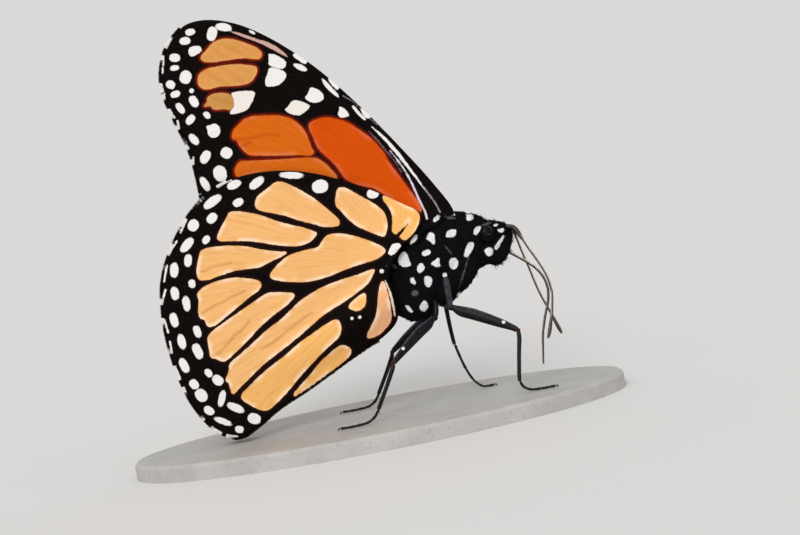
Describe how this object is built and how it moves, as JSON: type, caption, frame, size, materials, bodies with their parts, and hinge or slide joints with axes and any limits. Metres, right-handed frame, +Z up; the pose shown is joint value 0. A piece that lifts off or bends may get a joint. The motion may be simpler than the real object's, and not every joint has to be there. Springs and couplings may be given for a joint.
{
  "type": "monarch butterfly",
  "caption": "Life-size monarch butterfly model with closed black, orange and white wings, standing on a plain oval base.",
  "frame": {"origin": "centre of the base plate's underside", "axes": "+Z up out of the base plate, +X the way the head points, -Y the butterfly's right side"},
  "size_m": [0.076, 0.042, 0.0664],
  "materials": {
    "fur": "matte, hairy, black with white tufts",
    "forewing": "matte scales, black and orange with white spots",
    "hindwing": "matte scales, pale orange with black veins and white spots",
    "eye": "glossy",
    "leg_shell": "satin blue-black shell",
    "horn": "satin dark brown",
    "base_plate": "matte pale grey"
  },
  "bodies": {
    "root": {"stand_base": "base_plate", "thorax": "fur", "abdomen": "fur", "head": "fur", "eye_right": "eye", "eye_left": "eye", "palp_right": "fur", "palp_left": "fur", "proboscis": "horn", "antenna_right": "horn", "antenna_left": "horn", "foreleg_right": "fur", "foreleg_left": "fur", "midleg_right_femur": "leg_shell", "midleg_right_tibia": "leg_shell", "midleg_right_tarsus": "leg_shell", "midleg_left_femur": "leg_shell", "midleg_left_tibia": "leg_shell", "midleg_left_tarsus": "leg_shell", "hindleg_right_femur": "leg_shell", "hindleg_right_tibia": "leg_shell", "hindleg_right_tarsus": "leg_shell", "hindleg_left_femur": "leg_shell", "hindleg_left_tibia": "leg_shell", "hindleg_left_tarsus": "leg_shell", "forewing_right": "forewing", "hindwing_right": "hindwing", "forewing_left": "forewing", "hindwing_left": "hindwing"}
  },
  "joints": []
}
